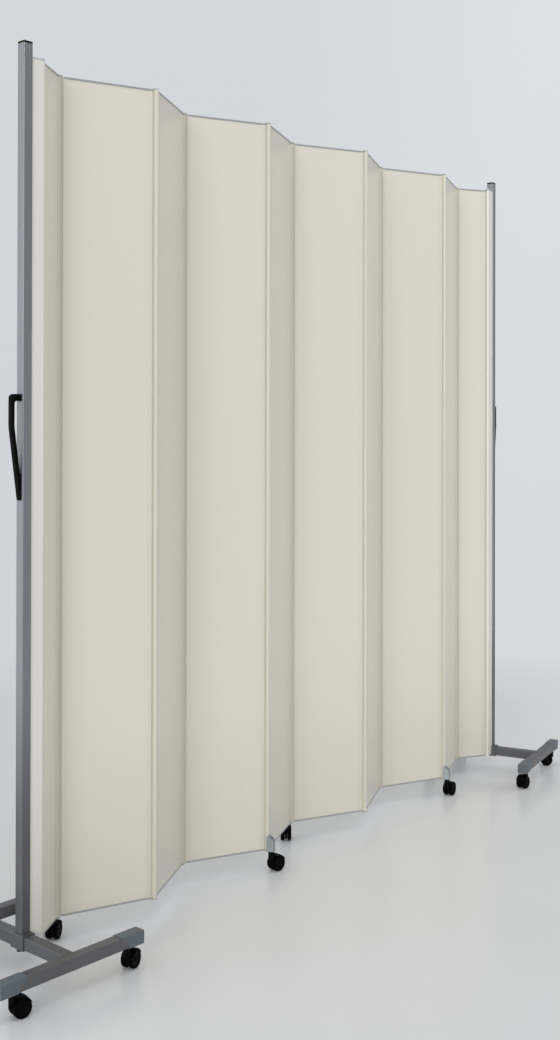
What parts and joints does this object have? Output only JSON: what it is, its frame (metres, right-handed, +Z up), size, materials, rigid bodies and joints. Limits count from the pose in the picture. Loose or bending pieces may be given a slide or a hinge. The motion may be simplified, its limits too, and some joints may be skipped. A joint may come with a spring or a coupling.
{
  "type": "folding privacy screen",
  "caption": "Mobile hospital privacy screen: cream hinged panels in a zigzag between square end posts on wheeled foot frames, with casters under some hinge lines.",
  "frame": {"origin": "on the floor, under the middle of the whole as it stands", "axes": "+X along the screen from the post at the picture's left to the one at its right, +Y away from the camera, +Z up"},
  "size_m": [2.28, 0.3966, 1.8565],
  "materials": {
    "laminate": "wipe-clean cream laminate, semi-gloss",
    "hinge_plastic": "extruded cream plastic with pale grey edge trims",
    "frame_paint": "dark grey metallic powder coat",
    "cap_plastic": "slate grey moulded plastic",
    "bracket_metal": "pale grey cast bracket",
    "black_plastic": "black moulded plastic",
    "wheel_rubber": "black wheel tread"
  },
  "bodies": {
    "stand_left": {"post_left": "frame_paint", "post_cap_left": "black_plastic", "end_profile_left": "hinge_plastic", "handle_left": "black_plastic", "foot_frame_left": "frame_paint", "end_caps_left": "cap_plastic"},
    "panel_1": {"board_1": "laminate", "edging_1": "hinge_plastic", "caster_bracket_1": "bracket_metal"},
    "panel_2": {"board_2": "laminate", "edging_2": "hinge_plastic"},
    "panel_3": {"board_3": "laminate", "edging_3": "hinge_plastic"},
    "panel_4": {"board_4": "laminate", "edging_4": "hinge_plastic"},
    "panel_5": {"board_5": "laminate", "edging_5": "hinge_plastic", "caster_bracket_4": "bracket_metal", "caster_bracket_5": "bracket_metal"},
    "panel_6": {"board_6": "laminate", "edging_6": "hinge_plastic"},
    "panel_7": {"board_7": "laminate", "edging_7": "hinge_plastic"},
    "panel_8": {"board_8": "laminate", "edging_8": "hinge_plastic"},
    "panel_9": {"board_9": "laminate", "edging_9": "hinge_plastic", "caster_bracket_8": "bracket_metal"},
    "panel_10": {"board_10": "laminate", "edging_10": "hinge_plastic"},
    "stand_right": {"post_right": "frame_paint", "post_cap_right": "black_plastic", "end_profile_right": "hinge_plastic", "handle_right": "black_plastic", "foot_frame_right": "frame_paint", "end_caps_right": "cap_plastic"},
    "swivel_left_front_left": {"caster_hood_left_front_left": "black_plastic"},
    "wheels_left_front_left": {"caster_wheels_left_front_left": "wheel_rubber"},
    "swivel_left_front_right": {"caster_hood_left_front_right": "black_plastic"},
    "wheels_left_front_right": {"caster_wheels_left_front_right": "wheel_rubber"},
    "swivel_left_rear_left": {"caster_hood_left_rear_left": "black_plastic"},
    "wheels_left_rear_left": {"caster_wheels_left_rear_left": "wheel_rubber"},
    "swivel_left_rear_right": {"caster_hood_left_rear_right": "black_plastic"},
    "wheels_left_rear_right": {"caster_wheels_left_rear_right": "wheel_rubber"},
    "swivel_right_front_left": {"caster_hood_right_front_left": "black_plastic"},
    "wheels_right_front_left": {"caster_wheels_right_front_left": "wheel_rubber"},
    "swivel_right_front_right": {"caster_hood_right_front_right": "black_plastic"},
    "wheels_right_front_right": {"caster_wheels_right_front_right": "wheel_rubber"},
    "swivel_right_rear_left": {"caster_hood_right_rear_left": "black_plastic"},
    "wheels_right_rear_left": {"caster_wheels_right_rear_left": "wheel_rubber"},
    "swivel_right_rear_right": {"caster_hood_right_rear_right": "black_plastic"},
    "wheels_right_rear_right": {"caster_wheels_right_rear_right": "wheel_rubber"},
    "swivel_line_1": {"caster_hood_line_1": "black_plastic"},
    "wheels_line_1": {"caster_wheels_line_1": "wheel_rubber"},
    "swivel_line_4": {"caster_hood_line_4": "black_plastic"},
    "wheels_line_4": {"caster_wheels_line_4": "wheel_rubber"},
    "swivel_line_5": {"caster_hood_line_5": "black_plastic"},
    "wheels_line_5": {"caster_wheels_line_5": "wheel_rubber"},
    "swivel_line_8": {"caster_hood_line_8": "black_plastic"},
    "wheels_line_8": {"caster_wheels_line_8": "wheel_rubber"}
  },
  "joints": [
    {"name": "fold_0", "type": "hinge", "parent": "stand_left", "child": "panel_1", "pos_m": [-0.91759, -0.00763, 0], "axis": [0, 0, 1], "range_deg": [-20, 38]},
    {"name": "fold_1", "type": "hinge", "parent": "panel_1", "child": "panel_2", "pos_m": [-0.82147, 0.04787, 0], "axis": [0, 0, 1], "range_deg": [-76, 40]},
    {"name": "fold_2", "type": "hinge", "parent": "panel_2", "child": "panel_3", "pos_m": [-0.61563, -0.03529, 0], "axis": [0, 0, 1], "range_deg": [-40, 76]},
    {"name": "fold_3", "type": "hinge", "parent": "panel_3", "child": "panel_4", "pos_m": [-0.41783, 0.06549, 0], "axis": [0, 0, 1], "range_deg": [-76, 40]},
    {"name": "fold_4", "type": "hinge", "parent": "panel_4", "child": "panel_5", "pos_m": [-0.21663, -0.02833, 0], "axis": [0, 0, 1], "range_deg": [-40, 76]},
    {"name": "fold_5", "type": "hinge", "parent": "panel_5", "child": "panel_6", "pos_m": [-0.01227, 0.05841, 0], "axis": [0, 0, 1], "range_deg": [-76, 40]},
    {"name": "fold_6", "type": "hinge", "parent": "panel_6", "child": "panel_7", "pos_m": [0.18893, -0.03541, 0], "axis": [0, 0, 1], "range_deg": [-40, 76]},
    {"name": "fold_7", "type": "hinge", "parent": "panel_7", "child": "panel_8", "pos_m": [0.39173, 0.05489, 0], "axis": [0, 0, 1], "range_deg": [-76, 40]},
    {"name": "fold_8", "type": "hinge", "parent": "panel_8", "child": "panel_9", "pos_m": [0.59532, -0.03364, 0], "axis": [0, 0, 1], "range_deg": [-40, 76]},
    {"name": "fold_9", "type": "hinge", "parent": "panel_9", "child": "panel_10", "pos_m": [0.80187, 0.04773, 0], "axis": [0, 0, 1], "range_deg": [-76, 40]},
    {"name": "fold_10", "type": "hinge", "parent": "panel_10", "child": "stand_right", "pos_m": [0.89808, -0.00763, 0], "axis": [0, 0, 1], "range_deg": [-20, 38]},
    {"name": "swivel_left_front_left", "type": "hinge", "parent": "stand_left", "child": "swivel_left_front_left", "pos_m": [-1.10446, -0.15305, 0.037], "axis": [0, 0, 1], "continuous": true},
    {"name": "roll_left_front_left", "type": "hinge", "parent": "swivel_left_front_left", "child": "wheels_left_front_left", "pos_m": [-1.08949, -0.15706, 0.0185], "axis": [0.2588, 0.9659, 0], "continuous": true},
    {"name": "swivel_left_front_right", "type": "hinge", "parent": "stand_left", "child": "swivel_left_front_right", "pos_m": [-0.82684, -0.1676, 0.037], "axis": [0, 0, 1], "continuous": true},
    {"name": "roll_left_front_right", "type": "hinge", "parent": "swivel_left_front_right", "child": "wheels_left_front_right", "pos_m": [-0.81187, -0.16359, 0.0185], "axis": [-0.2588, 0.9659, 0], "continuous": true},
    {"name": "swivel_left_rear_left", "type": "hinge", "parent": "stand_left", "child": "swivel_left_rear_left", "pos_m": [-1.08824, 0.15652, 0.037], "axis": [0, 0, 1], "continuous": true},
    {"name": "roll_left_rear_left", "type": "hinge", "parent": "swivel_left_rear_left", "child": "wheels_left_rear_left", "pos_m": [-1.07891, 0.14414, 0.0185], "axis": [0.7986, 0.6018, 0], "continuous": true},
    {"name": "swivel_left_rear_right", "type": "hinge", "parent": "stand_left", "child": "swivel_left_rear_right", "pos_m": [-0.81062, 0.14197, 0.037], "axis": [0, 0, 1], "continuous": true},
    {"name": "roll_left_rear_right", "type": "hinge", "parent": "swivel_left_rear_right", "child": "wheels_left_rear_right", "pos_m": [-0.79605, 0.13667, 0.0185], "axis": [0.342, 0.9397, 0], "continuous": true},
    {"name": "swivel_right_front_left", "type": "hinge", "parent": "stand_right", "child": "swivel_right_front_left", "pos_m": [0.83048, -0.17867, 0.037], "axis": [0, 0, 1], "continuous": true},
    {"name": "roll_right_front_left", "type": "hinge", "parent": "swivel_right_front_left", "child": "wheels_right_front_left", "pos_m": [0.81498, -0.17867, 0.0185], "axis": [0, -1, 0], "continuous": true},
    {"name": "swivel_right_front_right", "type": "hinge", "parent": "stand_right", "child": "swivel_right_front_right", "pos_m": [1.10337, -0.12563, 0.037], "axis": [0, 0, 1], "continuous": true},
    {"name": "roll_right_front_right", "type": "hinge", "parent": "swivel_right_front_right", "child": "wheels_right_front_right", "pos_m": [1.09404, -0.11325, 0.0185], "axis": [-0.7986, -0.6018, 0], "continuous": true},
    {"name": "swivel_right_rear_left", "type": "hinge", "parent": "stand_right", "child": "swivel_right_rear_left", "pos_m": [0.77133, 0.12563, 0.037], "axis": [0, 0, 1], "continuous": true},
    {"name": "roll_right_rear_left", "type": "hinge", "parent": "swivel_right_rear_left", "child": "wheels_right_rear_left", "pos_m": [0.76037, 0.11467, 0.0185], "axis": [0.7071, -0.7071, 0], "continuous": true},
    {"name": "swivel_right_rear_right", "type": "hinge", "parent": "stand_right", "child": "swivel_right_rear_right", "pos_m": [1.04422, 0.17867, 0.037], "axis": [0, 0, 1], "continuous": true},
    {"name": "roll_right_rear_right", "type": "hinge", "parent": "swivel_right_rear_right", "child": "wheels_right_rear_right", "pos_m": [1.03489, 0.1663, 0.0185], "axis": [0.7986, -0.6018, 0], "continuous": true},
    {"name": "swivel_line_1", "type": "hinge", "parent": "panel_1", "child": "swivel_line_1", "pos_m": [-0.82747, 0.05826, 0.037], "axis": [0, 0, 1], "continuous": true},
    {"name": "roll_line_1", "type": "hinge", "parent": "swivel_line_1", "child": "wheels_line_1", "pos_m": [-0.81404, 0.06601, 0.0185], "axis": [-0.5, 0.866, 0], "continuous": true},
    {"name": "swivel_line_4", "type": "hinge", "parent": "panel_5", "child": "swivel_line_4", "pos_m": [-0.21194, -0.03938, 0.037], "axis": [0, 0, 1], "continuous": true},
    {"name": "roll_line_4", "type": "hinge", "parent": "swivel_line_4", "child": "wheels_line_4", "pos_m": [-0.19663, -0.0418, 0.0185], "axis": [0.1564, 0.9877, 0], "continuous": true},
    {"name": "swivel_line_5", "type": "hinge", "parent": "panel_5", "child": "swivel_line_5", "pos_m": [-0.01696, 0.06946, 0.037], "axis": [0, 0, 1], "continuous": true},
    {"name": "roll_line_5", "type": "hinge", "parent": "swivel_line_5", "child": "wheels_line_5", "pos_m": [-0.00492, 0.07921, 0.0185], "axis": [-0.6293, 0.7771, 0], "continuous": true},
    {"name": "swivel_line_8", "type": "hinge", "parent": "panel_9", "child": "swivel_line_8", "pos_m": [0.59972, -0.0448, 0.037], "axis": [0, 0, 1], "continuous": true},
    {"name": "roll_line_8", "type": "hinge", "parent": "swivel_line_8", "child": "wheels_line_8", "pos_m": [0.61513, -0.04318, 0.0185], "axis": [-0.1045, 0.9945, 0], "continuous": true}
  ],
  "couplings": [
    {"joint": "fold_1", "follows": "fold_0", "ratio": -2},
    {"joint": "fold_2", "follows": "fold_0", "ratio": 2},
    {"joint": "fold_3", "follows": "fold_0", "ratio": -2},
    {"joint": "fold_4", "follows": "fold_0", "ratio": 2},
    {"joint": "fold_5", "follows": "fold_0", "ratio": -2},
    {"joint": "fold_6", "follows": "fold_0", "ratio": 2},
    {"joint": "fold_7", "follows": "fold_0", "ratio": -2},
    {"joint": "fold_8", "follows": "fold_0", "ratio": 2},
    {"joint": "fold_9", "follows": "fold_0", "ratio": -2},
    {"joint": "fold_10", "follows": "fold_0", "ratio": 1}
  ]
}
